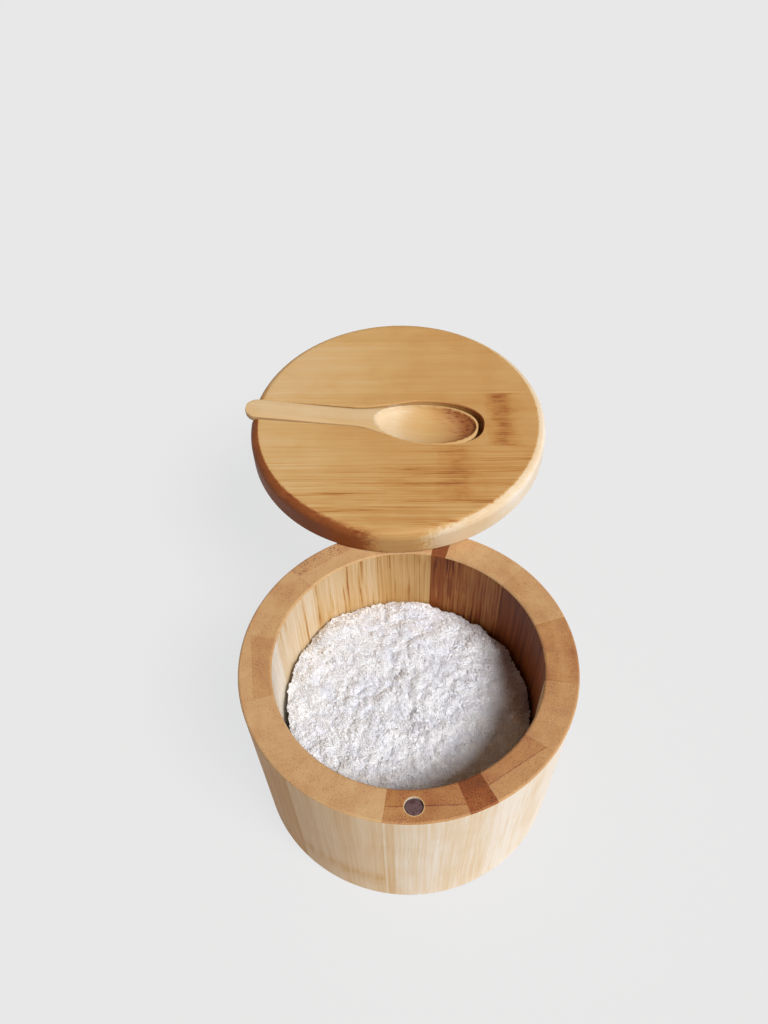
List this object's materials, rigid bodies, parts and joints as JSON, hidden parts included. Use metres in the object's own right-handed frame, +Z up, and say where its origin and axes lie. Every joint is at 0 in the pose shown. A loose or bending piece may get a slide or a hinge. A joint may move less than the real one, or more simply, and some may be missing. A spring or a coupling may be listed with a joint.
{
  "type": "salt box with swivel lid",
  "caption": "Round bamboo salt box with a magnetic swivel lid, a small spoon laid in the lid, and a fill of coarse salt.",
  "frame": {"origin": "middle of the box's foot, on the surface that it stands on", "axes": "+Z up along the box's axis; -Y to the front, where the magnet is; +Y to the back, where the lid's pin is and over which the open lid lies"},
  "size_m": [0.102, 0.19, 0.0772],
  "materials": {
    "wall_bamboo": "oiled bamboo, end grain on the rim",
    "dark_bamboo": "oiled dark bamboo",
    "base_bamboo": "oiled bamboo",
    "lid_bamboo": "oiled bamboo, grain left to right",
    "spoon_bamboo": "sanded bamboo",
    "magnet": "dull nickel plate",
    "pin_steel": "ground steel",
    "salt": "coarse loose crystals"
  },
  "bodies": {
    "box": {"stave_01": "wall_bamboo", "stave_02": "wall_bamboo", "stave_03": "wall_bamboo", "stave_04": "dark_bamboo", "stave_05": "wall_bamboo", "stave_06": "wall_bamboo", "stave_07": "wall_bamboo", "stave_08": "wall_bamboo", "stave_09": "wall_bamboo", "stave_10": "dark_bamboo", "stave_11": "wall_bamboo", "stave_12": "wall_bamboo", "stave_13": "wall_bamboo", "stave_14": "wall_bamboo", "bottom_disc": "base_bamboo", "box_magnet": "magnet", "salt_fill": "salt"},
    "swivel_lid": {"lid": "lid_bamboo", "pivot_pin": "pin_steel", "lid_magnet": "magnet"},
    "loose_spoon": {"spoon": "spoon_bamboo"}
  },
  "joints": [
    {"name": "lid_swivel", "type": "hinge", "parent": "box", "child": "swivel_lid", "pos_m": [0, 0.045, 0.067], "axis": [0, 0, 1], "continuous": true},
    {"name": "spoon_lift", "type": "slide", "parent": "swivel_lid", "child": "loose_spoon", "axis": [0, 0, 1], "range_m": [0, 0.05]}
  ]
}
